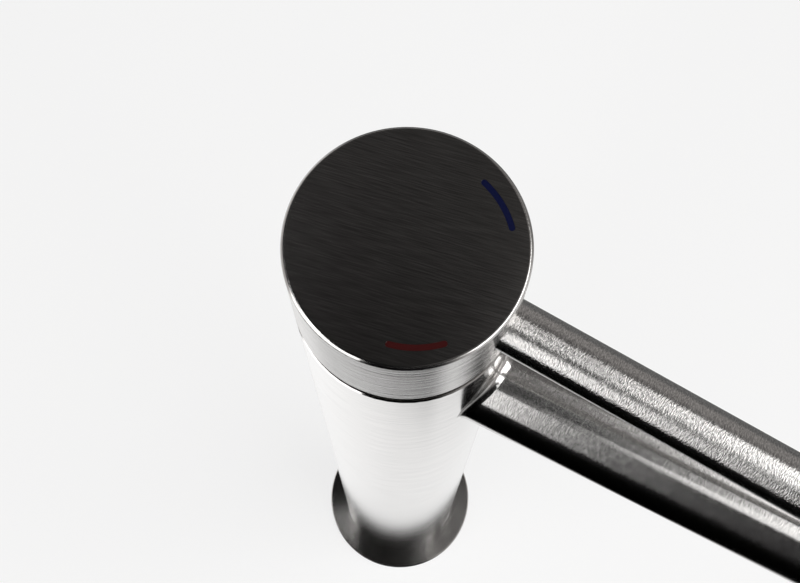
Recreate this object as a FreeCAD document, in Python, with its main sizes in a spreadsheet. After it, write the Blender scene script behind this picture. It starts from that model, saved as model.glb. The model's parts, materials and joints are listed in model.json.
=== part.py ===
import FreeCAD, Part
import os
import re

import Sketcher

# Tall single-lever basin mixer tap, millimetres, +Z up.
# The origin is the centre of the foot on the deck, and the spout points to -Y.
# Every piece is drawn with the spout or lever along +X and then turned to its heading.

SIZES = [
    # column, from the cartridge outwards
    ("cartridge_dia", 28.0),
    ("nut_wall", 1.95),
    ("valve_wall", 2.0),
    ("column_wall", 2.0),
    ("column_height", 321.5),
    ("column_edge", 0.25),
    # fits between pieces that are fixed to each other, and between those that move
    ("fit_clearance", 0.05),
    ("run_clearance", 0.1),
    ("swing_clearance", 0.3),
    ("lift_gap", 0.3),
    # handle
    ("handle_gap", 3.5),
    ("pivot_drop", 6.5),
    ("skirt_clearance", 0.45),
    ("crown_rise", 16.0),
    ("seat_floor", 1.5),
    ("hub_cover", 12.5),
    ("hub_edge", 0.4),
    ("hub_rim_edge", 0.2),
    ("lever_dia", 9.5),
    ("lever_clearance", 0.25),
    ("lever_reach", 120.0),
    ("lever_seat_depth", 5.0),
    ("lever_stud_dia", 6.0),
    ("lever_stud_length", 7.0),
    ("lever_tip_edge", 0.5),
    ("handle_turn", -3.0),
    ("mark_radius", 15.7),
    ("mark_shift", 1.5),
    ("mark_width", 1.0),
    ("mark_depth", 0.4),
    ("mark_sink", 0.05),
    ("mark_spread", 32.0),
    ("mark_heading", 59.5),
    ("screw_dia", 4.9),
    ("screw_length", 8.0),
    ("screw_hex", 2.5),
    ("screw_hex_depth", 3.0),
    ("plug_dia", 6.0),
    ("plug_length", 4.6),
    ("plug_sink", 0.4),
    # spindle and the parts that it moves
    ("stem_width", 8.0),
    ("stem_grip", 10.0),
    ("stem_foot_rise", 9.0),
    ("shank_dia", 6.0),
    ("shank_drop", 4.8),
    ("ball_dia", 5.2),
    ("ball_neck_dia", 3.2),
    ("ball_drop", 9.0),
    ("pin_dia", 3.0),
    ("carrier_rise", 2.7),
    ("carrier_drop", 6.0),
    ("carrier_slot", 11.6),
    ("slide_height", 5.7),
    ("slide_dia", 18.0),
    ("slide_offset", 1.9),
    ("moving_disc_height", 3.45),
    ("mixing_depth", 1.5),
    ("mixing_width", 13.0),
    ("mixing_length", 3.8),
    ("mixing_start", 0.3),
    ("mixing_tail", 5.5),
    ("mixing_tail_width", 5.0),
    ("disc_film", 0.05),
    ("fixed_disc_height", 4.0),
    # cartridge shell and its nut
    ("housing_wall", 2.5),
    ("housing_top", 2.5),
    ("housing_shoulder", 2.0),
    ("neck_inset", 3.8),
    ("stem_hole_dia", 15.0),
    ("cartridge_base_height", 4.5),
    ("nut_skirt", 4.5),
    ("nut_plate", 2.0),
    ("nut_hex_height", 3.5),
    ("nut_hex_inset", 0.9),
    # waterways
    ("inlet_port_dia", 4.6),
    ("inlet_port_ahead", 3.0),
    ("inlet_port_side", 6.0),
    ("outlet_port_dia", 5.0),
    ("outlet_port_behind", 5.5),
    ("seal_width", 1.2),
    ("seal_height", 1.2),
    ("port_floor", 2.5),
    ("outlet_bore_dia", 6.0),
    ("valve_foot", 10.5),
    ("valve_top_drop", 1.0),
    ("riser_dia", 10.0),
    ("riser_wall", 1.0),
    ("riser_spacing", 19.0),
    ("riser_socket", 5.0),
    # spout and outlet
    ("spout_dia", 20.0),
    ("spout_wall", 1.5),
    ("spout_lift", 4.5),
    ("spout_reach", 150.0),
    ("spout_overhang", 14.0),
    ("spout_tip_edge", 0.4),
    ("root_fillet", 2.0),
    ("cap_thickness", 2.0),
    ("bush_dia", 15.5),
    ("bush_wall", 1.2),
    ("bush_length", 8.0),
    ("bush_drop", 3.0),
    ("aerator_wall", 1.2),
    ("aerator_length", 5.5),
    ("aerator_sink", 0.3),
    ("aerator_seal_height", 1.0),
    ("insert_length", 4.0),
    ("jet_hole_dia", 1.2),
    ("jet_ring_dia", 6.4),
    ("jet_count", 8),
    # foot
    ("flange_width", 6.5),
    ("flange_height", 4.0),
    ("flange_edge", 0.4),
    ("gasket_inset", 1.9),
    ("gasket_width", 2.4),
    ("gasket_height", 1.5),
    ("foot_height", 18.0),
    ("inlet_thread_dia", 8.9),
    ("inlet_thread_length", 11.0),
    ("stud_thread_dia", 6.8),
    ("stud_thread_length", 12.0),
    ("stud_behind", 10.0),
    # heading of the spout, seen from above
    ("front_heading", -90.0),
]

# Places that follow from the sizes above.
PLACES = {
    "cartridge_r": "cartridge_dia / 2",
    "nut_r": "cartridge_r + nut_wall",
    "valve_r": "nut_r + valve_wall",
    "column_bore_r": "valve_r + fit_clearance",
    "column_r": "column_bore_r + column_wall",
    "pivot_level": "column_height - pivot_drop",
    "hub_bottom": "column_height + handle_gap",
    "hub_ceiling": "pivot_level + crown_rise",
    "lever_seat_r": "lever_dia / 2 + lever_clearance",
    "lever_level": "hub_ceiling + seat_floor + lever_seat_r",
    "hub_top": "lever_level + hub_cover",
    "hollow_r": "sqrt(column_r ^ 2 + pivot_drop ^ 2) + skirt_clearance",
    "lever_start": "column_r - lever_seat_depth",
    "handle_heading": "front_heading + handle_turn",
    "carrier_top": "pivot_level + carrier_rise",
    "carrier_bottom": "pivot_level - carrier_drop",
    "slide_top": "carrier_bottom - lift_gap",
    "slide_bottom": "slide_top - slide_height",
    "moving_bottom": "slide_bottom - moving_disc_height",
    "fixed_top": "moving_bottom - disc_film",
    "fixed_bottom": "fixed_top - fixed_disc_height",
    "seat_level": "fixed_bottom - cartridge_base_height",
    "housing_bore_r": "cartridge_r - housing_wall",
    "housing_ceiling": "carrier_top + lift_gap",
    "housing_crest": "housing_ceiling + housing_top",
    "shoulder_level": "housing_crest - housing_shoulder",
    "neck_r": "cartridge_r - neck_inset",
    "nut_top": "shoulder_level + nut_plate + nut_hex_height",
    "valve_top": "column_height - valve_top_drop",
    "outlet_level": "seat_level - port_floor - outlet_bore_dia / 2",
    "valve_bottom": "outlet_level - outlet_bore_dia / 2 - valve_foot",
    "spout_level": "outlet_level + spout_lift",
    "spout_end": "spout_reach + spout_overhang",
    "spout_bore_r": "spout_dia / 2 - spout_wall",
    "bush_r": "bush_dia / 2",
    "bush_bottom": "spout_level - spout_dia / 2 - bush_drop",
    "bush_top": "bush_bottom + bush_length",
    "aerator_r": "bush_r - bush_wall - fit_clearance",
    "aerator_bottom": "bush_bottom + aerator_sink",
    "aerator_top": "aerator_bottom + aerator_length",
    "insert_r": "aerator_r - aerator_wall",
    "riser_r": "riser_dia / 2",
    "riser_bore_r": "riser_r - riser_wall",
    "riser_bottom": "foot_height - riser_socket",
    "riser_top": "valve_bottom + riser_socket",
    "flange_r": "column_r + flange_width",
    "gasket_r": "flange_r - gasket_inset",
}

NODES = [
    "handle_hub", "lever_rod", "hot_mark", "cold_mark", "set_screw", "screw_plug", "spindle",
    "spindle_carrier", "pivot_pin", "disc_carrier", "moving_disc", "fixed_disc", "cartridge_housing",
    "cartridge_base", "port_seals", "retaining_nut", "valve_body", "hot_riser", "cold_riser",
    "body_shell", "spout_tube", "spout_end_cap", "outlet_bush", "aerator_housing", "aerator_insert",
    "aerator_seal", "base_flange", "base_gasket", "base_insert",
]

SIZE_NAMES = [name for name, number in SIZES]
VECTOR = FreeCAD.Vector
UP = VECTOR(0, 0, 1)
ORIGIN = VECTOR(0, 0, 0)

doc = FreeCAD.newDocument("BasinMixerTap")
sheet = doc.addObject("Spreadsheet::Sheet", "Sizes")
for row, (name, number) in enumerate(SIZES, start=1):
    sheet.set("A%d" % row, name)
    sheet.set("B%d" % row, str(number))
    sheet.setAlias("B%d" % row, name)
doc.recompute()


def formula(text):
    """Write a formula of size and place names as sheet references."""
    def refer(match):
        word = match.group(0)
        if word in PLACES:
            return "(" + formula(PLACES[word]) + ")"
        if word in SIZE_NAMES:
            return "Sizes." + word
        return word
    return re.sub(r"[a-z_]+", refer, text)


def bind(feature, **values):
    """Tie properties of a feature to formulas."""
    for name, text in values.items():
        feature.setExpression(name, formula(text))


def move(feature, x="0", y="0", z="0"):
    """Tie the place of a feature to formulas."""
    for letter, text in (("x", x), ("y", y), ("z", z)):
        if text != "0":
            feature.setExpression("Placement.Base." + letter, formula(text))


def turn(feature, heading):
    """Turn a finished piece about the column's axis."""
    feature.Placement = FreeCAD.Placement(ORIGIN, FreeCAD.Rotation(UP, 90))
    feature.setExpression("Placement.Rotation.Angle", formula(heading))
    return feature


def rod(name, radius, bottom, top, x="0", y="0"):
    """A round upright tool or piece."""
    feature = doc.addObject("Part::Cylinder", name)
    bind(feature, Radius=radius, Height="(" + top + ") - (" + bottom + ")")
    move(feature, x, y, bottom)
    return feature


def cross_rod(name, radius, start, end, level, y="0"):
    """A round tool or piece that lies along X."""
    feature = doc.addObject("Part::Cylinder", name)
    feature.Placement = FreeCAD.Placement(ORIGIN, FreeCAD.Rotation(VECTOR(0, 1, 0), 90))
    bind(feature, Radius=radius, Height="(" + end + ") - (" + start + ")")
    move(feature, start, y, level)
    return feature


def block(name, x_size, y_size, z_size, x, y, z):
    """A square-edged tool or piece, placed by its lowest corner."""
    feature = doc.addObject("Part::Box", name)
    bind(feature, Length=x_size, Width=y_size, Height=z_size)
    move(feature, x, y, z)
    return feature


def join(name, pieces):
    feature = doc.addObject("Part::MultiFuse", name)
    feature.Shapes = pieces
    return feature


def cut(name, base, tools):
    feature = doc.addObject("Part::Cut", name)
    feature.Base = base
    feature.Tool = tools[0] if len(tools) == 1 else join(name + "_cuts", tools)
    return feature


def sketch_on(body, role, name):
    """A sketch on one of the body's own origin planes."""
    sketch = body.newObject("Sketcher::SketchObject", name)
    plane = [item for item in body.Origin.OriginFeatures if item.Role == role][0]
    sketch.AttachmentSupport = [(plane, "")]
    sketch.MapMode = "FlatFace"
    return sketch


def pin_point(sketch, line, end, x, y, start):
    """Tie one end of a sketch line to formulas for its two coordinates."""
    for kind, axis, text, first in (("DistanceX", -2, x, start[0]), ("DistanceY", -1, y, start[1])):
        if text == "0":
            sketch.addConstraint(Sketcher.Constraint("PointOnObject", line, end, axis))
            continue
        number = sketch.addConstraint(Sketcher.Constraint(kind, -1, 1, line, end, first))
        name = "%s_%d_%d" % (kind, line, end)
        sketch.renameConstraint(number, name)
        sketch.setExpression("Constraints." + name, formula(text))


def outline(sketch, corners):
    """A closed outline whose corners are tied to formulas."""
    first = sketch.GeometryCount
    count = len(corners)
    spot = FreeCAD.Rotation(UP, 360.0 / count)
    starts = [VECTOR(2, 1, 0)]
    for index in range(count - 1):
        starts.append(spot.multVec(starts[-1]))
    for index in range(count):
        ends = (starts[index], starts[(index + 1) % count])
        sketch.addGeometry(Part.LineSegment(*ends), False)
    for index in range(count):
        following = first + (index + 1) % count
        sketch.addConstraint(Sketcher.Constraint("Coincident", first + index, 2, following, 1))
    for index, (x, y) in enumerate(corners):
        pin_point(sketch, first + index, 1, x, y, starts[index])


def round_sketch(body, role, name, radius, x="0", y="0"):
    """A sketch of one circle tied to formulas."""
    sketch = sketch_on(body, role, name)
    sketch.addGeometry(Part.Circle(ORIGIN, UP, 1.0), False)
    pin_point(sketch, 0, 3, x, y, ORIGIN)
    number = sketch.addConstraint(Sketcher.Constraint("Radius", 0, 1.0))
    sketch.renameConstraint(number, "radius")
    sketch.setExpression("Constraints.radius", formula(radius))
    return sketch


def turned(name, corners):
    """A piece turned about the column's axis, drawn as radius and height."""
    body = doc.addObject("PartDesign::Body", name)
    sketch = sketch_on(body, "XZ_Plane", name + "_profile")
    outline(sketch, corners)
    solid = body.newObject("PartDesign::Revolution", name + "_turning")
    solid.Profile = sketch
    solid.ReferenceAxis = (sketch, ["V_Axis"])
    solid.Angle = 360
    return body


def turned_across(name, level, corners):
    """A piece turned about a level axis along X, drawn as distance and radius."""
    body = doc.addObject("PartDesign::Body", name)
    sketch = sketch_on(body, "XZ_Plane", name + "_profile")
    sketch.addGeometry(Part.LineSegment(ORIGIN, VECTOR(1, 0, 0)), True)
    pin_point(sketch, 0, 1, "0", level, ORIGIN)
    pin_point(sketch, 0, 2, level, level, VECTOR(1, 0, 0))
    outline(sketch, [(x, level + " + " + radius) for x, radius in corners])
    solid = body.newObject("PartDesign::Revolution", name + "_turning")
    solid.Profile = sketch
    solid.ReferenceAxis = (sketch, ["Axis0"])
    solid.Angle = 360
    return body


def tube(name, outer, inner, bottom, top):
    """A plain ring or pipe about the column's axis."""
    return turned(name, [(inner, bottom), (outer, bottom), (outer, top), (inner, top)])


def arc_tool(name, low, high, heading, slack):
    """A curved bar with round ends in the hub top, wider than the mark by the slack all round."""
    half_width = "(mark_width / 2 + " + slack + ")"
    outer = rod(name + "_outer", "mark_radius + " + half_width, low, high, "mark_shift")
    inner = rod(name + "_inner", "mark_radius - " + half_width, low, high, "mark_shift")
    bind(outer, Angle="mark_spread")
    outer.setExpression("Placement.Rotation.Angle", formula(heading + " - mark_spread / 2"))
    bars = [cut(name + "_bar", outer, [inner])]
    for end, half_spread in (("first", " - mark_spread / 2"), ("last", " + mark_spread / 2")):
        angle = "((" + heading + half_spread + ") * 1 deg)"
        bars.append(rod(name + "_" + end + "_end", half_width, low, high,
                        "mark_shift + mark_radius * cos" + angle, "mark_radius * sin" + angle))
    return join(name, bars)


# Handle: hub, lever, marks and the screw that holds the hub on the spindle.

hub_blank = turned("handle_hub_blank", [
    ("0", "hub_bottom"),
    ("column_r - hub_rim_edge", "hub_bottom"),
    ("column_r", "hub_bottom + hub_rim_edge"),
    ("column_r", "hub_top - hub_edge"),
    ("column_r - hub_edge", "hub_top"),
    ("0", "hub_top"),
])
hollow_ball = doc.addObject("Part::Sphere", "hub_hollow_ball")
bind(hollow_ball, Radius="hollow_r")
move(hollow_ball, z="pivot_level")
hollow_limit = rod("hub_hollow_limit", "hollow_r", "pivot_level", "hub_ceiling")
hub_hollow = doc.addObject("Part::Common", "hub_hollow")
hub_hollow.Base = hollow_ball
hub_hollow.Tool = hollow_limit
lever_seat = cross_rod("lever_seat", "lever_seat_r", "lever_start", "hollow_r", "lever_level")
stud_hole = cross_rod("lever_stud_hole", "lever_stud_dia / 2 + fit_clearance",
                      "lever_start - lever_stud_length - fit_clearance", "lever_start", "lever_level")
stem_socket = block("stem_socket", "stem_width + 2 * fit_clearance", "stem_width + 2 * fit_clearance",
                    "stem_grip + fit_clearance", "-stem_width / 2 - fit_clearance",
                    "-stem_width / 2 - fit_clearance", "hub_ceiling")
screw_hole = cross_rod("set_screw_hole", "screw_dia / 2 + fit_clearance", "-column_r", "0", "lever_level")
plug_hole = cross_rod("screw_plug_hole", "plug_dia / 2 + fit_clearance", "-hollow_r",
                      "plug_sink + plug_length - column_r", "lever_level")
hot_groove = arc_tool("hot_groove", "hub_top - mark_depth", "hub_top + mark_depth",
                      "-mark_heading", "fit_clearance / 2")
cold_groove = arc_tool("cold_groove", "hub_top - mark_depth", "hub_top + mark_depth",
                       "mark_heading", "fit_clearance / 2")
handle_hub = cut("handle_hub", hub_blank, [hub_hollow, lever_seat, stud_hole, stem_socket, screw_hole,
                                           plug_hole, hot_groove, cold_groove])
turn(handle_hub, "handle_heading")

lever_rod = turned_across("lever_rod", "lever_level", [
    ("lever_start - lever_stud_length", "0"),
    ("lever_start - lever_stud_length", "lever_stud_dia / 2"),
    ("lever_start", "lever_stud_dia / 2"),
    ("lever_start", "lever_dia / 2"),
    ("lever_reach - lever_tip_edge", "lever_dia / 2"),
    ("lever_reach", "lever_dia / 2 - lever_tip_edge"),
    ("lever_reach", "0"),
])
turn(lever_rod, "handle_heading")

for name, heading in (("hot_mark", "-mark_heading"), ("cold_mark", "mark_heading")):
    mark = arc_tool(name, "hub_top - mark_depth", "hub_top - mark_sink", heading, "0")
    turn(mark, "handle_heading")

set_screw_blank = cross_rod("set_screw_blank", "screw_dia / 2", "-stem_width / 2 - screw_length",
                            "-stem_width / 2", "lever_level")
hex_socket = doc.addObject("Part::Prism", "set_screw_socket")
hex_socket.Polygon = 6
hex_socket.Placement = FreeCAD.Placement(ORIGIN, FreeCAD.Rotation(VECTOR(0, 1, 0), 90))
bind(hex_socket, Circumradius="screw_hex / sqrt(3)", Height="screw_hex_depth")
move(hex_socket, x="-stem_width / 2 - screw_length", z="lever_level")
set_screw = cut("set_screw", set_screw_blank, [hex_socket])
turn(set_screw, "handle_heading")

screw_plug = turned_across("screw_plug", "lever_level", [
    ("plug_sink - column_r", "0"),
    ("plug_sink - column_r", "plug_dia / 2"),
    ("plug_sink + plug_length - column_r", "plug_dia / 2"),
    ("plug_sink + plug_length - column_r", "0"),
])
turn(screw_plug, "handle_heading")

# Spindle: square head in the hub, round shank on the pivot pin, ball end in the slide.

stem_head = block("stem_head", "stem_width", "stem_width", "crown_rise + stem_grip - stem_foot_rise",
                  "-stem_width / 2", "-stem_width / 2", "pivot_level + stem_foot_rise")
stem_shank = rod("stem_shank", "shank_dia / 2", "pivot_level - shank_drop",
                 "pivot_level + stem_foot_rise")
stem_neck = rod("stem_neck", "ball_neck_dia / 2", "pivot_level - ball_drop", "pivot_level - shank_drop")
stem_ball = doc.addObject("Part::Sphere", "stem_ball")
bind(stem_ball, Radius="ball_dia / 2")
move(stem_ball, z="pivot_level - ball_drop")
stem_blank = join("spindle_blank", [stem_head, stem_shank, stem_neck, stem_ball])


def across_y(name, radius, half_length, level):
    """A round tool or piece that lies along Y, centred on the column's axis."""
    feature = doc.addObject("Part::Cylinder", name)
    feature.Placement = FreeCAD.Placement(ORIGIN, FreeCAD.Rotation(VECTOR(1, 0, 0), -90))
    bind(feature, Radius=radius, Height="2 * " + half_length)
    move(feature, "0", "-" + half_length, level)
    return feature


pivot_hole = across_y("pivot_hole", "pin_dia / 2 + fit_clearance", "shank_dia", "pivot_level")
spindle = cut("spindle", stem_blank, [pivot_hole])
turn(spindle, "handle_heading")

pivot_pin = doc.addObject("PartDesign::Body", "pivot_pin")
pin_pad = pivot_pin.newObject("PartDesign::Pad", "pivot_pin_pad")
pin_pad.Profile = round_sketch(pivot_pin, "XZ_Plane", "pivot_pin_circle", "pin_dia / 2", "0", "pivot_level")
pin_pad.Midplane = True
bind(pin_pad, Length="2 * (housing_bore_r - run_clearance - lift_gap)")
turn(pivot_pin, "handle_heading")

carrier_blank = rod("spindle_carrier_blank", "housing_bore_r - run_clearance", "carrier_bottom", "carrier_top")
carrier_slot = block("carrier_slot_tool", "carrier_slot", "shank_dia + 2 * swing_clearance",
                     "carrier_top - carrier_bottom", "-carrier_slot / 2",
                     "-shank_dia / 2 - swing_clearance", "carrier_bottom")
carrier_hole = across_y("carrier_pin_hole", "pin_dia / 2", "cartridge_r", "pivot_level")
spindle_carrier = cut("spindle_carrier", carrier_blank, [carrier_slot, carrier_hole])
turn(spindle_carrier, "handle_heading")

slide_blank = rod("disc_carrier_blank", "slide_dia / 2", "slide_bottom", "slide_top", "-slide_offset")
ball_socket = rod("ball_socket", "ball_dia / 2 + swing_clearance", "slide_bottom", "slide_top")
disc_carrier = cut("disc_carrier", slide_blank, [ball_socket])
turn(disc_carrier, "handle_heading")

moving_blank = rod("moving_disc_blank", "slide_dia / 2", "moving_bottom", "slide_bottom", "-slide_offset")
mixing_bar = block("mixing_bar", "mixing_length", "mixing_width", "mixing_depth",
                   "mixing_start - mixing_length", "-mixing_width / 2", "moving_bottom")
mixing_tail = block("mixing_tail_tool", "mixing_tail", "mixing_tail_width", "mixing_depth",
                    "mixing_start - mixing_length - mixing_tail", "-mixing_tail_width / 2", "moving_bottom")
moving_disc = cut("moving_disc", moving_blank, [mixing_bar, mixing_tail])
turn(moving_disc, "handle_heading")

# Cartridge: shell, fixed disc, base with its seals, and the nut that clamps it.


def ports(name, bottom, top, wider="0"):
    """Upright round tools at the two inlets and the outlet."""
    inlet = "inlet_port_dia / 2 + " + wider
    outlet = "outlet_port_dia / 2 + " + wider
    return [
        rod(name + "_hot", inlet, bottom, top, "inlet_port_ahead", "-inlet_port_side"),
        rod(name + "_cold", inlet, bottom, top, "inlet_port_ahead", "inlet_port_side"),
        rod(name + "_out", outlet, bottom, top, "-outlet_port_behind"),
    ]


fixed_blank = rod("fixed_disc_blank", "housing_bore_r - fit_clearance", "fixed_bottom", "fixed_top")
fixed_disc = cut("fixed_disc", fixed_blank, ports("disc_port", "fixed_bottom", "fixed_top"))
turn(fixed_disc, "front_heading")

base_blank = rod("cartridge_base_blank", "cartridge_r", "seat_level", "fixed_bottom")
cartridge_base = cut("cartridge_base", base_blank,
                     ports("base_port", "seat_level", "fixed_bottom")
                     + ports("seal_seat", "seat_level", "seat_level + seal_height",
                             "seal_width + fit_clearance"))
turn(cartridge_base, "front_heading")

seal_blanks = join("port_seal_blanks", ports("seal_ring", "seat_level", "seat_level + seal_height", "seal_width"))
port_seals = cut("port_seals", seal_blanks, ports("seal_hole", "seat_level", "seat_level + seal_height"))
turn(port_seals, "front_heading")

cartridge_housing = turned("cartridge_housing", [
    ("housing_bore_r", "fixed_bottom"),
    ("cartridge_r", "fixed_bottom"),
    ("cartridge_r", "shoulder_level"),
    ("neck_r", "shoulder_level"),
    ("neck_r", "housing_crest"),
    ("stem_hole_dia / 2", "housing_crest"),
    ("stem_hole_dia / 2", "housing_ceiling"),
    ("housing_bore_r", "housing_ceiling"),
])
turn(cartridge_housing, "front_heading")

nut_ring = turned("retaining_nut_ring", [
    ("cartridge_r + fit_clearance", "shoulder_level - nut_skirt"),
    ("nut_r - fit_clearance", "shoulder_level - nut_skirt"),
    ("nut_r - fit_clearance", "shoulder_level + nut_plate"),
    ("neck_r + fit_clearance", "shoulder_level + nut_plate"),
    ("neck_r + fit_clearance", "shoulder_level"),
    ("cartridge_r + fit_clearance", "shoulder_level"),
])
nut_hex = doc.addObject("Part::Prism", "retaining_nut_hex")
nut_hex.Polygon = 6
bind(nut_hex, Circumradius="nut_r - nut_hex_inset", Height="nut_hex_height")
move(nut_hex, z="shoulder_level + nut_plate")
nut_bore = rod("retaining_nut_bore", "neck_r + fit_clearance", "shoulder_level", "nut_top")
nut_crown = cut("retaining_nut_crown", nut_hex, [nut_bore])
retaining_nut = join("retaining_nut", [nut_ring, nut_crown])
turn(retaining_nut, "front_heading")

# Valve body: seats the cartridge, takes the risers below and feeds the spout.

valve_blank = turned("valve_body_blank", [
    ("0", "valve_bottom"),
    ("valve_r", "valve_bottom"),
    ("valve_r", "valve_top"),
    ("nut_r", "valve_top"),
    ("nut_r", "shoulder_level - nut_skirt - fit_clearance"),
    ("cartridge_r + fit_clearance", "shoulder_level - nut_skirt - fit_clearance"),
    ("cartridge_r + fit_clearance", "seat_level"),
    ("0", "seat_level"),
])
outlet_bore = cross_rod("outlet_bore", "outlet_bore_dia / 2", "-outlet_port_behind", "column_r", "outlet_level")
outlet_drop = rod("outlet_drop", "outlet_port_dia / 2", "outlet_level", "seat_level", "-outlet_port_behind")
inlet_drops = ports("inlet_drop", "outlet_level", "seat_level")[:2]
riser_tools = []
for side, place in (("hot", "-riser_spacing / 2"), ("cold", "riser_spacing / 2")):
    riser_tools.append(rod(side + "_riser_seat", "riser_r + fit_clearance", "valve_bottom", "riser_top", "0", place))
    riser_tools.append(rod(side + "_riser_way", "riser_bore_r", "riser_top", "seat_level - port_floor", "0", place))
valve_body = cut("valve_body", valve_blank, [outlet_bore, outlet_drop] + inlet_drops + riser_tools)
turn(valve_body, "front_heading")

for side, place in (("hot_riser", "-riser_spacing / 2"), ("cold_riser", "riser_spacing / 2")):
    pipe = rod(side + "_pipe", "riser_r", "riser_bottom", "riser_top", "0", place)
    pipe_bore = rod(side + "_bore", "riser_bore_r", "riser_bottom", "riser_top", "0", place)
    turn(cut(side, pipe, [pipe_bore]), "front_heading")

# Column and spout: two tubes welded together, with a small flare at the spout's root.

shell_tube = turned("body_shell_tube", [
    ("column_bore_r", "0"),
    ("column_r", "0"),
    ("column_r", "column_height - column_edge"),
    ("column_r - column_edge", "column_height"),
    ("column_bore_r", "column_height"),
])
spout_hole = cross_rod("spout_hole", "spout_bore_r", "0", "hollow_r", "spout_level")
body_shell = cut("body_shell", shell_tube, [spout_hole])
turn(body_shell, "front_heading")

spout_tube = doc.addObject("PartDesign::Body", "spout_tube")
root_sketch = round_sketch(spout_tube, "XY_Plane", "spout_root_circle", "column_r")
root_sketch.setExpression("AttachmentOffset.Base.z", formula("spout_level - spout_dia"))
root_pad = spout_tube.newObject("PartDesign::Pad", "spout_root_stub")
root_pad.Profile = root_sketch
bind(root_pad, Length="2 * spout_dia")
tube_sketch = round_sketch(spout_tube, "YZ_Plane", "spout_tube_circle", "spout_dia / 2", "0", "spout_level")
tube_pad = spout_tube.newObject("PartDesign::Pad", "spout_tube_pad")
tube_pad.Profile = tube_sketch
bind(tube_pad, Length="spout_end")
doc.recompute()
root_edges = []
for number, edge in enumerate(tube_pad.Shape.Edges, start=1):
    if type(edge.Curve).__name__ not in ("Line", "Circle"):
        root_edges.append("Edge%d" % number)
root_flare = spout_tube.newObject("PartDesign::Fillet", "spout_root_flare")
root_flare.Base = (tube_pad, root_edges)
bind(root_flare, Radius="root_fillet")
doc.recompute()
tip_edges = []
for number, edge in enumerate(root_flare.Shape.Edges, start=1):
    box = edge.BoundBox
    if type(edge.Curve).__name__ == "Circle" and box.XLength < box.YLength / 2:
        tip_edges.append("Edge%d" % number)
tip_chamfer = spout_tube.newObject("PartDesign::Chamfer", "spout_tip_chamfer")
tip_chamfer.Base = (root_flare, tip_edges)
bind(tip_chamfer, Size="spout_tip_edge")
column_sketch = round_sketch(spout_tube, "XY_Plane", "spout_saddle_circle", "column_r + fit_clearance / 2")
saddle = spout_tube.newObject("PartDesign::Pocket", "spout_saddle")
saddle.Profile = column_sketch
saddle.Type = "ThroughAll"
saddle.Midplane = True
bore_sketch = round_sketch(spout_tube, "YZ_Plane", "spout_bore_circle", "spout_bore_r", "0", "spout_level")
bore = spout_tube.newObject("PartDesign::Pocket", "spout_bore")
bore.Profile = bore_sketch
bore.Type = "ThroughAll"
bore.Midplane = True
outlet_sketch = round_sketch(spout_tube, "XY_Plane", "outlet_circle", "bush_r + fit_clearance", "spout_reach")
outlet_hole = spout_tube.newObject("PartDesign::Pocket", "outlet_hole")
outlet_hole.Profile = outlet_sketch
outlet_hole.Reversed = True
bind(outlet_hole, Length="spout_level")
turn(spout_tube, "front_heading")

spout_end_cap = turned_across("spout_end_cap", "spout_level", [
    ("spout_end - cap_thickness", "0"),
    ("spout_end - cap_thickness", "spout_bore_r - fit_clearance"),
    ("spout_end", "spout_bore_r - fit_clearance"),
    ("spout_end", "0"),
])
turn(spout_end_cap, "front_heading")

# Outlet: threaded bush in the underside of the spout, with the jet former inside it.


def outlet_ring(name, outer, inner, bottom, top):
    ring = rod(name + "_outer", outer, bottom, top, "spout_reach")
    hole = rod(name + "_inner", inner, bottom, top, "spout_reach")
    return cut(name, ring, [hole])


bush_sleeve = outlet_ring("outlet_bush_sleeve", "bush_r", "bush_r - bush_wall", "bush_bottom", "bush_top")
bush_lip = outlet_ring("outlet_bush_lip", "bush_r - bush_wall / 2", "insert_r",
                       "aerator_top + aerator_seal_height", "bush_top")
outlet_bush = join("outlet_bush", [bush_sleeve, bush_lip])
turn(outlet_bush, "front_heading")

aerator_sleeve = outlet_ring("aerator_sleeve", "aerator_r", "insert_r", "aerator_bottom", "aerator_top")
aerator_ledge = outlet_ring("aerator_ledge", "aerator_r - aerator_wall / 2", "insert_r - aerator_wall / 2",
                            "aerator_bottom", "aerator_top - insert_length - fit_clearance")
aerator_housing = join("aerator_housing", [aerator_sleeve, aerator_ledge])
turn(aerator_housing, "front_heading")

aerator_seal = outlet_ring("aerator_seal", "aerator_r", "insert_r", "aerator_top",
                           "aerator_top + aerator_seal_height")
turn(aerator_seal, "front_heading")

aerator_insert = doc.addObject("PartDesign::Body", "aerator_insert")
disc_sketch = round_sketch(aerator_insert, "XY_Plane", "insert_circle", "insert_r - fit_clearance")
disc_pad = aerator_insert.newObject("PartDesign::Pad", "insert_disc")
disc_pad.Profile = disc_sketch
bind(disc_pad, Length="insert_length")
jet_sketch = round_sketch(aerator_insert, "XY_Plane", "jet_circle", "jet_hole_dia / 2", "jet_ring_dia / 2")
jet_hole = aerator_insert.newObject("PartDesign::Pocket", "jet_hole")
jet_hole.Profile = jet_sketch
jet_hole.Type = "ThroughAll"
jet_hole.Midplane = True
jets = aerator_insert.newObject("PartDesign::PolarPattern", "jet_holes")
jets.Originals = [jet_hole]
jets.Axis = (jet_sketch, ["N_Axis"])
jets.Angle = 360
bind(jets, Occurrences="jet_count")
aerator_insert.Tip = jets
heading_radians = formula("front_heading") + " * 1 deg"
aerator_insert.setExpression("Placement.Base.x", formula("spout_reach") + " * cos(" + heading_radians + ")")
aerator_insert.setExpression("Placement.Base.y", formula("spout_reach") + " * sin(" + heading_radians + ")")
aerator_insert.setExpression("Placement.Base.z", formula("aerator_top - insert_length"))

# Foot: flange and gasket round the column, and the plug with the inlet and fixing threads.

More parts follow.
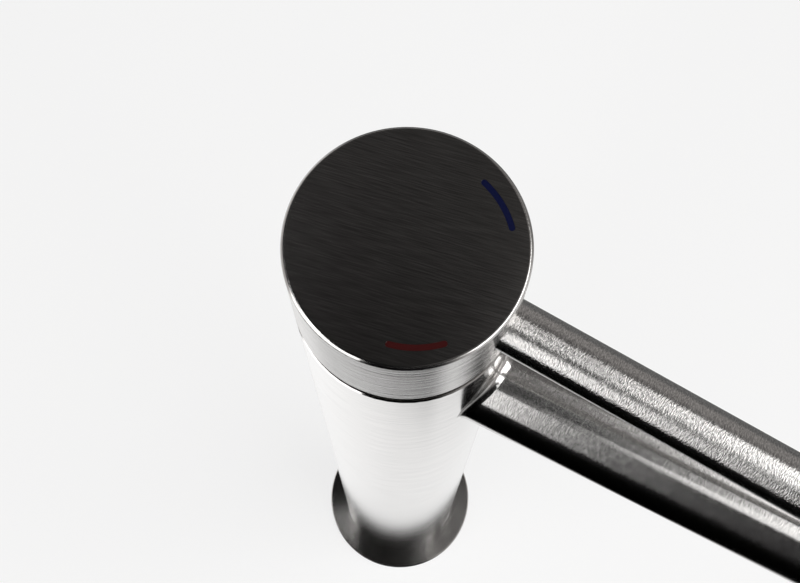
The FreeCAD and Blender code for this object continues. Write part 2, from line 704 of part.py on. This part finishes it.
base_flange = turned("base_flange", [
    ("column_r + fit_clearance", "0"),
    ("gasket_r - gasket_width - fit_clearance", "0"),
    ("gasket_r - gasket_width - fit_clearance", "gasket_height"),
    ("gasket_r + fit_clearance", "gasket_height"),
    ("gasket_r + fit_clearance", "0"),
    ("flange_r", "0"),
    ("flange_r", "flange_height - flange_edge"),
    ("flange_r - flange_edge", "flange_height"),
    ("column_r + fit_clearance", "flange_height"),
])
turn(base_flange, "front_heading")

base_gasket = tube("base_gasket", "gasket_r", "gasket_r - gasket_width", "0", "gasket_height")
turn(base_gasket, "front_heading")

foot_blank = turned("base_insert_blank", [
    ("0", "0"),
    ("valve_r", "0"),
    ("valve_r", "foot_height"),
    ("0", "foot_height"),
])
foot_tools = [rod("stud_thread", "stud_thread_dia / 2", "0", "stud_thread_length", "-stud_behind")]
for side, place in (("hot", "-riser_spacing / 2"), ("cold", "riser_spacing / 2")):
    foot_tools.append(rod(side + "_inlet_thread", "inlet_thread_dia / 2", "0", "inlet_thread_length", "0", place))
    foot_tools.append(rod(side + "_inlet_way", "riser_bore_r", "0", "foot_height", "0", place))
    foot_tools.append(rod(side + "_foot_seat", "riser_r + fit_clearance", "riser_bottom", "foot_height", "0", place))
base_insert = cut("base_insert", foot_blank, foot_tools)
turn(base_insert, "front_heading")

doc.recompute()

faults = []
for feature in doc.Objects:
    if "Invalid" in feature.State or "Error" in feature.State:
        faults.append("%s: %s" % (feature.Name, ", ".join(feature.State)))
pieces = {}
for node in NODES:
    piece = doc.getObjectsByLabel(node)[0]
    if piece.Shape.isNull() or not piece.Shape.isValid() or not piece.Shape.Solids:
        faults.append("%s has no valid solid" % node)
    pieces[node] = piece
if faults:
    raise RuntimeError("; ".join(faults))

os.makedirs("parts", exist_ok=True)
for node in NODES:
    pieces[node].Shape.exportStep("parts/%s.step" % node)
    print("%s: %d solid, %.1f mm3" % (node, len(pieces[node].Shape.Solids), pieces[node].Shape.Volume))
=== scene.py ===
from collections import namedtuple
from itertools import product
import json
import math

import bpy
from mathutils import Matrix, Vector


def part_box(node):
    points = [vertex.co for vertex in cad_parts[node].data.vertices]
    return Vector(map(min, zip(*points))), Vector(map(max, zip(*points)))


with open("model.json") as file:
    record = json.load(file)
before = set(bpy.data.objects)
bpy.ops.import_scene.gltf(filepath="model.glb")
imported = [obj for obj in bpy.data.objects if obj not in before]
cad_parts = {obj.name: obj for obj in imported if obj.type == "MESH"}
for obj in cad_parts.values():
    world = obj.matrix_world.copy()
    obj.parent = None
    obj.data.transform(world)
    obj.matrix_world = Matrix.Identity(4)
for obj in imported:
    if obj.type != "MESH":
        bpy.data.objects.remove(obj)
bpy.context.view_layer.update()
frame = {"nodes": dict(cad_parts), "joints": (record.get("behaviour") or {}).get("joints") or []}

# Tall basin mixer tap in brushed steel on a white table. Metres, +Z up, spout towards -Y.
# Every node keeps its CAD mesh and gets a procedural material here.

NODES = frame["nodes"]


# Places and sizes from the frame

def middle(node):
    """The middle of a node's box at rest."""
    low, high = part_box(node)
    return (low + high) / 2


def half_width(node):
    """Half of a node's width at rest, which is its radius where it is round about the column's axis."""
    low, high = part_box(node)
    return (high.x - low.x) / 2


UP = Vector((0, 0, 1))
COLD_SIDE = Vector((1, 0, 0))
SPOUT_WAY = Vector((0, -1, 0))
FLOW_JOINT = next(joint for joint in frame["joints"] if joint["name"] == "flow")
LEVER_WAY = UP.cross(Vector(FLOW_JOINT["axis"])).normalized()
COLUMN_FOOT = Vector((0, 0, 0))
LEVER_ROOT = Vector((0, 0, middle("lever_rod").z))
SPOUT_ROOT = Vector((0, 0, middle("spout_end_cap").z))
OUTLET = middle("aerator_insert")
HUB_RADIUS = half_width("handle_hub")
FOOT_RADIUS = half_width("base_flange")


# Shader nodes

WHITE = (1, 1, 1, 1)
NOISE_SPREAD = (0.3, 0.7)
NOISE_DETAIL = 2.0


def add_node(tree, kind, inputs=None, **settings):
    """A shader node with its settings, and with inputs that are plain values or other nodes' sockets."""
    node = tree.nodes.new(kind)
    for name, value in settings.items():
        setattr(node, name, value)
    for name, value in (inputs or {}).items():
        socket = node.inputs[name]
        if isinstance(value, bpy.types.NodeSocket):
            tree.links.new(value, socket)
        else:
            socket.default_value = value
    return node


def number(tree, operation, *values):
    """A sum on numbers."""
    node = add_node(tree, "ShaderNodeMath", dict(enumerate(values)), operation=operation)
    return node.outputs[0]


def squared(tree, value):
    """A number times itself."""
    return number(tree, "MULTIPLY", value, value)


def vector(tree, operation, *values):
    """A sum on vectors."""
    node = add_node(tree, "ShaderNodeVectorMath", dict(enumerate(values)), operation=operation)
    return node.outputs["Value" if operation in ("DOT_PRODUCT", "LENGTH") else "Vector"]


def together(tree, x, y, z):
    """A vector of three numbers."""
    return add_node(tree, "ShaderNodeCombineXYZ", {0: x, 1: y, 2: z}).outputs[0]


def divided(tree, place, size):
    """A vector measured in a size."""
    return vector(tree, "DIVIDE", place, Vector((size,) * 3))


def level_part(tree, place):
    """A vector without its height."""
    return vector(tree, "MULTIPLY", place, Vector((1, 1, 0)))


def along_way(tree, place, way):
    """How far a place lies along a way, as a number and as a vector."""
    run = vector(tree, "DOT_PRODUCT", place, way)
    return run, vector(tree, "MULTIPLY", together(tree, run, run, run), way)


def ramp(tree, value, span, low, high, smooth=False):
    """The value carried from a span of two numbers to low and high, and held outside the span."""
    start, end = span
    return add_node(tree, "ShaderNodeMapRange", {
        "Value": value, "From Min": start, "From Max": end, "To Min": low, "To Max": high},
        interpolation_type="SMOOTHSTEP" if smooth else "LINEAR").outputs[0]


def between(tree, share, first, second):
    """A number between two others."""
    return ramp(tree, share, (0.0, 1.0), first, second)


def tint(tree, share, first, second):
    """A colour between two others; inputs 6 and 7 and output 2 are the node's colours."""
    node = add_node(tree, "ShaderNodeMix", {0: share, 6: first, 7: second}, data_type="RGBA")
    return node.outputs[2]


def mixed(tree, share, first, second):
    """A shader between two others."""
    return add_node(tree, "ShaderNodeMixShader", {0: share, 1: first, 2: second}).outputs[0]


def noise(tree, spot, detail=NOISE_DETAIL):
    """Noise from 0 to 1 with features about one unit wide."""
    node = add_node(tree, "ShaderNodeTexNoise", {"Vector": spot, "Scale": 1.0, "Detail": detail})
    return ramp(tree, node.outputs[0], NOISE_SPREAD, 0.0, 1.0)


def relief(tree, height):
    """The normal of a face that is raised by a height in metres."""
    bump = add_node(tree, "ShaderNodeBump", {"Height": height, "Strength": 1.0, "Distance": 1.0})
    return bump.outputs[0]


def shades(colour, shade):
    """A darker and a lighter form of a colour, apart by a share of it."""
    return [tuple(part * factor for part in colour) + (1,) for factor in (1 - shade / 2, 1 + shade / 2)]


def new_material(name):
    """A material with an empty tree, and the tree."""
    material = bpy.data.materials.new(name)
    material.use_nodes = True
    material.node_tree.nodes.clear()
    return material, material.node_tree


def show(tree, shader):
    """Makes a shader the surface of the tree's material."""
    add_node(tree, "ShaderNodeOutputMaterial", {"Surface": shader})


def rest_place(tree):
    """Where a point of the piece lies at rest, in the frame's metres."""
    return add_node(tree, "ShaderNodeTexCoord").outputs["Object"]


def rest_normal(tree):
    """Which way a point of the piece faces at rest."""
    return add_node(tree, "ShaderNodeTexCoord").outputs["Normal"]


# Brushed metal: the width and length of a mark, the least and most roughness, the marks' depth, the share
# of the colour by which they differ, and how far they stretch a highlight

Finish = namedtuple("Finish", "width length roughness depth shade stretch")

STEEL = (0.66, 0.645, 0.63)
BRASS = (0.72, 0.53, 0.25)

HUB_TOP = Finish(0.0002, 0.006, (0.13, 0.15), 0.0000003, 0.5, 0.8)
HUB_SIDE = Finish(0.001, 0.024, (0.16, 0.21), 0.00004, 0.4, 0.9)
LEVER = Finish(0.0002, 0.0006, (0.2, 0.26), 0.000022, 0.6, 0.85)
COLUMN = Finish(0.0006, 0.01, (0.1, 0.13), 0.0000025, 0.24, 0.3)
SPOUT = Finish(0.00025, 0.001, (0.16, 0.2), 0.0000028, 0.3, 0.65)
FLANGE = Finish(0.0004, 0.006, (0.1, 0.12), 0.0000006, 0.12, 0.9)
OUTLET_RING = Finish(0.0002, 0.002, (0.2, 0.3), 0.000003, 0.1, 0.8)
PIPE = Finish(0.0003, 0.006, (0.2, 0.35), 0.000004, 0.15, 0.6)
HARDWARE = Finish(0.0002, 0.001, (0.3, 0.4), 0.000004, 0.15, 0.4)
TURNED_BRASS = Finish(0.0003, 0.004, (0.22, 0.32), 0.000004, 0.12, 0.8)


def turned_marks(tree, root, axis, finish, detail=NOISE_DETAIL):
    """Brush marks that run round an axis, and the way they run."""
    place = vector(tree, "SUBTRACT", rest_place(tree), root)
    run, part_along = along_way(tree, place, axis)
    radial = vector(tree, "SUBTRACT", place, part_along)
    level = number(tree, "ADD", run, vector(tree, "LENGTH", radial))
    side = Vector((axis.y, axis.z, axis.x))
    aside = vector(tree, "DOT_PRODUCT", radial, side)
    above = vector(tree, "DOT_PRODUCT", radial, axis.cross(side))
    spot = together(tree, number(tree, "DIVIDE", level, finish.width),
                    number(tree, "DIVIDE", aside, finish.length),
                    number(tree, "DIVIDE", above, finish.length))
    along = vector(tree, "NORMALIZE", vector(tree, "CROSS_PRODUCT", axis, radial))
    return noise(tree, spot, detail), along


def straight_marks(tree, way, finish):
    """Brush marks that run straight along a way, and that way."""
    place = rest_place(tree)
    _, part_along = along_way(tree, place, way)
    part_across = vector(tree, "SUBTRACT", place, part_along)
    spot = vector(tree, "ADD", divided(tree, part_across, finish.width),
                  divided(tree, part_along, finish.length))
    return noise(tree, spot), together(tree, *way)


def metal_shader(tree, metal, marks, along, finish, fall=0.0):
    """Metal with brush marks in its colour, gloss and relief; fall lowers the face, in metres."""
    across = vector(tree, "CROSS_PRODUCT", rest_normal(tree), along)
    tangent = add_node(tree, "ShaderNodeVectorTransform", {"Vector": across}, vector_type="VECTOR",
                       convert_from="OBJECT", convert_to="WORLD").outputs[0]
    height = number(tree, "SUBTRACT", number(tree, "MULTIPLY", marks, finish.depth), fall)
    return add_node(tree, "ShaderNodeBsdfPrincipled", {
        "Base Color": tint(tree, marks, *shades(metal, finish.shade)),
        "Metallic": 1.0,
        "Roughness": between(tree, marks, *finish.roughness),
        "Anisotropic": finish.stretch,
        "Tangent": tangent,
        "Normal": relief(tree, height)}).outputs[0]


def turned_metal(name, root, axis, finish, metal=STEEL):
    """Metal brushed round an axis."""
    material, tree = new_material(name)
    marks, along = turned_marks(tree, root, axis, finish)
    show(tree, metal_shader(tree, metal, marks, along, finish))
    return material


def drawn_metal(name, way, finish):
    """Steel with marks straight along a way."""
    material, tree = new_material(name)
    marks, along = straight_marks(tree, way, finish)
    show(tree, metal_shader(tree, STEEL, marks, along, finish))
    return material


# Hub: straight marks on the flat top, which falls a little at its rim, and marks round the side. The bevel
# between them is the CAD's; here it looks slightly bowed.

HUB_GRAIN = Vector((0.175, -0.985, 0)).normalized()
HUB_SIDE_DETAIL = 3.0
HUB_BEVEL = 0.0004
BEVEL_BOW = 0.000025
RIM_WIDTH = 0.0003
RIM_FALL = 0.00003
TOP_FACING = (0.85, 0.95)


def hub_metal(name):
    """The hub's steel, with two finishes that part where the face turns from level to upright."""
    material, tree = new_material(name)
    reach = vector(tree, "LENGTH", level_part(tree, rest_place(tree)))
    bevel_start = HUB_RADIUS - HUB_BEVEL

    rim = ramp(tree, reach, (bevel_start - RIM_WIDTH, bevel_start), 0.0, 1.0)
    rim_fall = number(tree, "MULTIPLY", squared(tree, rim), RIM_FALL)
    top_marks, top_along = straight_marks(tree, HUB_GRAIN, HUB_TOP)
    top = metal_shader(tree, STEEL, top_marks, top_along, HUB_TOP, rim_fall)

    bevel = ramp(tree, reach, (bevel_start, HUB_RADIUS), -1.0, 1.0)
    bevel_fall = number(tree, "MULTIPLY", squared(tree, bevel), BEVEL_BOW)
    side_marks, side_along = turned_marks(tree, COLUMN_FOOT, UP, HUB_SIDE, HUB_SIDE_DETAIL)
    side = metal_shader(tree, STEEL, side_marks, side_along, HUB_SIDE, bevel_fall)

    facing_up = vector(tree, "DOT_PRODUCT", rest_normal(tree), UP)
    on_top = ramp(tree, facing_up, TOP_FACING, 0.0, 1.0)
    show(tree, mixed(tree, on_top, side, top))
    return material


# Ceramic, plastic, rubber and enamel: the colour, the least and most roughness, the width of a grain, its
# depth, the share of the colour by which grains differ, and the gloss

Stuff = namedtuple("Stuff", "colour roughness grain depth shade gloss")

PLAIN_GLOSS = 0.5
ENAMEL_GLOSS = 0.19

STUFFS = {
    "ceramic": Stuff((0.88, 0.86, 0.82), (0.12, 0.2), 0.0002, 0.000001, 0.04, PLAIN_GLOSS),
    "white_plastic": Stuff((0.8, 0.8, 0.78), (0.4, 0.5), 0.0003, 0.000005, 0.06, PLAIN_GLOSS),
    "insert_plastic": Stuff((0.72, 0.72, 0.7), (0.38, 0.5), 0.0003, 0.000005, 0.08, PLAIN_GLOSS),
    "plug_grey": Stuff((0.3, 0.3, 0.3), (0.35, 0.45), 0.0002, 0.000006, 0.12, PLAIN_GLOSS),
    "seal_rubber": Stuff((0.022, 0.022, 0.022), (0.6, 0.75), 0.0002, 0.00001, 0.2, PLAIN_GLOSS),
    "hot_enamel": Stuff((0.037, 0.003, 0.003), (0.28, 0.36), 0.0002, 0.000002, 0.15, ENAMEL_GLOSS),
    "cold_enamel": Stuff((0.002, 0.004, 0.031), (0.28, 0.36), 0.0002, 0.000002, 0.15, ENAMEL_GLOSS),
}
CAMERA_BLACK = Stuff((0.004, 0.004, 0.004), (0.8, 0.9), 0.001, 0.00001, 0.2, PLAIN_GLOSS)


def grained(name, stuff):
    """A stuff that isn't metal, with a fine even grain in its colour, gloss and relief."""
    material, tree = new_material(name)
    grains = noise(tree, divided(tree, rest_place(tree), stuff.grain))
    height = number(tree, "MULTIPLY", grains, stuff.depth)
    show(tree, add_node(tree, "ShaderNodeBsdfPrincipled", {
        "Base Color": tint(tree, grains, *shades(stuff.colour, stuff.shade)),
        "Roughness": between(tree, grains, *stuff.roughness),
        "Specular IOR Level": stuff.gloss,
        "Normal": relief(tree, height)}).outputs[0])
    return material


# Materials by the name of their slot

MATERIALS = {
    "hub_steel": hub_metal("hub_steel"),
    "lever_steel": turned_metal("lever_steel", LEVER_ROOT, LEVER_WAY, LEVER),
    "column_steel": turned_metal("column_steel", COLUMN_FOOT, UP, COLUMN),
    "spout_steel": turned_metal("spout_steel", SPOUT_ROOT, SPOUT_WAY, SPOUT),
    "flange_steel": turned_metal("flange_steel", COLUMN_FOOT, UP, FLANGE),
    "outlet_steel": turned_metal("outlet_steel", OUTLET, UP, OUTLET_RING),
    "pipe_steel": drawn_metal("pipe_steel", UP, PIPE),
    "hardware_steel": drawn_metal("hardware_steel", UP, HARDWARE),
    "brass": turned_metal("brass", COLUMN_FOOT, UP, TURNED_BRASS, BRASS),
}
for name, stuff in STUFFS.items():
    MATERIALS[name] = grained(name, stuff)

for piece in NODES.values():
    slot = piece.material_slots[0]
    slot.material = MATERIALS[slot.name]


# Room: its light by the way it comes from, dim on the cold side and dark on the photographer's side. Here
# and below, a band is the span over which one light passes into another.

COLD_BAND = (0.45, 0.75)
DARK_WAY = Vector((-0.99, -0.12, 0))
DARK_BAND = (0.5, 0.8)


def around(tree, way, full, dim):
    """The room's light along a level way: full, dim on the cold side, none on the photographer's side."""
    aside = vector(tree, "DOT_PRODUCT", way, COLD_SIDE)
    behind = vector(tree, "DOT_PRODUCT", way, DARK_WAY)
    return number(tree, "MULTIPLY", ramp(tree, aside, COLD_BAND, full, dim, smooth=True),
                  ramp(tree, behind, DARK_BAND, 1.0, 0.0, smooth=True))


# Table: white to the camera, with the tap's soft shadow. In reflections only, it glows with a painted pool
# of light about the foot, brighter to the left, with a painted contact shadow where the flange stands, and
# farther out the room's light painted on it.

FLOOR_HALF = 4.0
FLOOR_COLOUR = (0.9, 0.9, 0.9, 1)
BACKDROP = 0.93
FLOOR_WHITE = 1.02
FLOOR_GLOW = 0.72
FADE = (0.5, 1.8)
# Painted pool of light in reflections: its middle and edge, its brightness, the brighter left side, and the
# room's light beyond
POOL_MIDDLE = Vector((-0.01, 0.03, 0))
POOL_EDGE = (0.08, 0.14)
POOL_LIGHT = 0.97
LEFT_SIDE = Vector((-0.6, 0.8, 0))
LEFT_BAND = (0.02, 0.16)
LEFT_LIGHT = 1.27
FAR_LIGHT = 0.75
FAR_DIM = 0.16
# Painted contact shadow in reflections: how far beyond the flange it starts and how wide it fades out
PAINTED_SHADOW_GAP = 0.0008
PAINTED_SHADOW_WIDTH = 0.003


def table_reflected(tree, place):
    """The table's painted light in reflections: a glowing pool about the foot, with a painted contact
    shadow at the flange's edge, and the room's light painted farther out.
    """
    # Painted pool of light: brightest near the foot and to the left, fading to the room's painted light
    # farther out
    from_pool = vector(tree, "LENGTH", vector(tree, "SUBTRACT", place, POOL_MIDDLE))
    near = ramp(tree, from_pool, POOL_EDGE, 1.0, 0.0, smooth=True)
    to_left = vector(tree, "DOT_PRODUCT", place, LEFT_SIDE)
    # Painted contact shadow: the reflected table is black at the flange's edge and brightens outward
    painted_shadow_start = FOOT_RADIUS + PAINTED_SHADOW_GAP
    painted_shadow_edge = (painted_shadow_start, painted_shadow_start + PAINTED_SHADOW_WIDTH)
    pool = number(tree, "MULTIPLY", ramp(tree, to_left, LEFT_BAND, POOL_LIGHT, LEFT_LIGHT),
                  ramp(tree, vector(tree, "LENGTH", place), painted_shadow_edge, 0.0, 1.0))
    far = around(tree, vector(tree, "NORMALIZE", place), FAR_LIGHT, FAR_DIM)
    return between(tree, near, far, pool)


def table_white():
    """The table's material. To the camera the lit table fades into the backdrop's white with distance."""
    material, tree = new_material("white_table")
    path = add_node(tree, "ShaderNodeLightPath")
    camera_ray = path.outputs["Is Camera Ray"]
    glossy_ray = path.outputs["Is Glossy Ray"]
    place = rest_place(tree)
    fade = ramp(tree, vector(tree, "LENGTH", place), FADE, 0.0, 1.0, smooth=True)
    shown = number(tree, "MULTIPLY", camera_ray, between(tree, fade, FLOOR_WHITE, BACKDROP))
    # To glossy rays the table is emission only, which paints the pool of light and its shadow into
    # reflections
    strength = number(tree, "MULTIPLY_ADD", glossy_ray, table_reflected(tree, place), shown)
    glow = number(tree, "MULTIPLY_ADD", camera_ray, between(tree, fade, FLOOR_GLOW, 1.0), glossy_ray)
    lit = add_node(tree, "ShaderNodeBsdfDiffuse", {"Color": FLOOR_COLOUR})
    white = add_node(tree, "ShaderNodeEmission", {"Color": WHITE, "Strength": strength})
    show(tree, mixed(tree, glow, lit.outputs[0], white.outputs[0]))
    return material


def make_floor():
    """The table as one large level face."""
    mesh = bpy.data.meshes.new("table")
    corners = [(x * FLOOR_HALF, y * FLOOR_HALF, 0) for x, y in ((-1, -1), (1, -1), (1, 1), (-1, 1))]
    mesh.from_pydata(corners, [], [(0, 1, 2, 3)])
    mesh.materials.append(table_white())
    floor = bpy.data.objects.new("table", mesh)
    bpy.context.scene.collection.objects.link(floor)


# World: white behind the table for the camera. For everything else it is the room, dark overhead but for a
# little light on the cold side and a haze where the cold side and the spout's side meet.

ROOM_TINT = (1, 0.96, 0.94, 1)
ROOM_LIGHT = 0.32
ROOM_DIM = 0.27
CLIMB_BAND = (0.45, 0.75)
CEILING_DARK = 0.002
CEILING_LIGHT = 0.035
CEILING_BAND = (0.05, 0.35)
HAZE_LIGHT = 0.14
HAZE_ASIDE = (0.02, 0.12)
HAZE_AHEAD = (-0.04, 0.02)


def make_world():
    """The backdrop and the room."""
    world = bpy.data.worlds.new("studio")
    bpy.context.scene.world = world
    world.use_nodes = True
    tree = world.node_tree
    tree.nodes.clear()
    way = add_node(tree, "ShaderNodeTexCoord").outputs["Generated"]
    climb = vector(tree, "DOT_PRODUCT", way, UP)
    aside = vector(tree, "DOT_PRODUCT", way, COLD_SIDE)
    ahead = vector(tree, "DOT_PRODUCT", way, SPOUT_WAY)
    haze = number(tree, "MULTIPLY", ramp(tree, aside, HAZE_ASIDE, 0.0, 1.0),
                  ramp(tree, ahead, HAZE_AHEAD, 0.0, HAZE_LIGHT))
    ceiling = number(tree, "ADD", haze,
                     ramp(tree, aside, CEILING_BAND, CEILING_DARK, CEILING_LIGHT, smooth=True))
    walls = around(tree, vector(tree, "NORMALIZE", level_part(tree, way)), ROOM_LIGHT, ROOM_DIM)
    light = ramp(tree, climb, CLIMB_BAND, walls, ceiling, smooth=True)
    room = add_node(tree, "ShaderNodeBackground", {"Color": ROOM_TINT, "Strength": light})
    backdrop = add_node(tree, "ShaderNodeBackground", {"Color": WHITE, "Strength": BACKDROP})
    camera_ray = add_node(tree, "ShaderNodeLightPath").outputs["Is Camera Ray"]
    seen = mixed(tree, camera_ray, room.outputs[0], backdrop.outputs[0])
    add_node(tree, "ShaderNodeOutputWorld", {"Surface": seen})


# Softboxes: the place from the lever's root, the way that the lamp shines against, the width and height of
# its face, and how bright the face is

Softbox = namedtuple("Softbox", "place way width height radiance")


def toward(azimuth, elevation):
    """The way to a heading and climb in degrees."""
    heading, climb = math.radians(azimuth), math.radians(elevation)
    level = Vector((math.cos(heading), math.sin(heading), 0))
    return level * math.cos(climb) + UP * math.sin(climb)


RIGHT_WAY = toward(275, 47)
SOFTBOXES = {
    "left_softbox": Softbox(Vector((-0.903, 0.673, 0.44)), toward(180, 26), 1.32, 0.895, 2.3),
    "left_top_softbox": Softbox(Vector((-0.11, 0.27, 1.0)), UP, 0.2, 0.12, 4.0),
    "right_softbox": Softbox(RIGHT_WAY, RIGHT_WAY, 1.0, 1.05, 3.0),
    "middle_softbox": Softbox(Vector((-0.58, -0.33, 0.95)), Vector((-0.5, -0.2, 0.84)), 0.34, 0.3, 1.5),
}


def make_softbox(name, box):
    """A lamp with a rectangular face that shines against its way."""
    lamp = bpy.data.lights.new(name, "AREA")
    lamp.shape = "RECTANGLE"
    lamp.size = box.width
    lamp.size_y = box.height
    lamp.energy = box.radiance * math.pi * box.width * box.height
    holder = bpy.data.objects.new(name, lamp)
    turn = box.way.to_track_quat("Z", "Y").to_matrix().to_4x4()
    holder.matrix_world = Matrix.Translation(LEVER_ROOT + box.place) @ turn
    bpy.context.scene.collection.objects.link(holder)


# Camera of the photograph, found from the ellipses of the hub, column and flange, and its black body, with
# corners in the camera's own axes: right, up and back

IMAGE_WIDTH = 800
FOCAL_PIXELS = 1466.1
SENSOR_WIDTH = 36.0
CAMERA_PLACE = Vector((-0.05842, -0.02771, 0.57146))
CAMERA_RIGHT = Vector((0.45463, -0.89067, 0.00344))
CAMERA_UP = Vector((0.86203, 0.44098, 0.2499))
CAMERA_LOW = (-0.16, -0.1, 0.01)
CAMERA_HIGH = (0.045, 0.015, 0.09)
BOX_FACES = [(0, 1, 3, 2), (4, 6, 7, 5), (0, 4, 5, 1), (2, 3, 7, 6), (0, 2, 6, 4), (1, 5, 7, 3)]


def make_camera():
    """The photograph's camera; the lens and the sensor are in millimetres."""
    camera = bpy.data.cameras.new("photo_camera")
    camera.sensor_fit = "HORIZONTAL"
    camera.sensor_width = SENSOR_WIDTH
    camera.lens = FOCAL_PIXELS * SENSOR_WIDTH / IMAGE_WIDTH
    holder = bpy.data.objects.new("photo_camera", camera)
    right = CAMERA_RIGHT.normalized()
    back = right.cross(CAMERA_UP).normalized()
    turn = Matrix((right, back.cross(right), back)).transposed()
    holder.matrix_world = Matrix.Translation(CAMERA_PLACE) @ turn.to_4x4()
    bpy.context.scene.collection.objects.link(holder)
    bpy.context.scene.camera = holder
    return holder


def make_camera_body(camera):
    """The black camera that shows in the steel; it lies behind the view point."""
    mesh = bpy.data.meshes.new("camera_body")
    mesh.from_pydata(list(product(*zip(CAMERA_LOW, CAMERA_HIGH))), [], BOX_FACES)
    mesh.materials.append(grained("camera_black", CAMERA_BLACK))
    body = bpy.data.objects.new("camera_body", mesh)
    body.matrix_world = camera.matrix_world
    body.visible_camera = False
    body.visible_shadow = False
    bpy.context.scene.collection.objects.link(body)


make_floor()
make_world()
for name, box in SOFTBOXES.items():
    make_softbox(name, box)
make_camera_body(make_camera())
bpy.context.scene.view_settings.view_transform = "Standard"
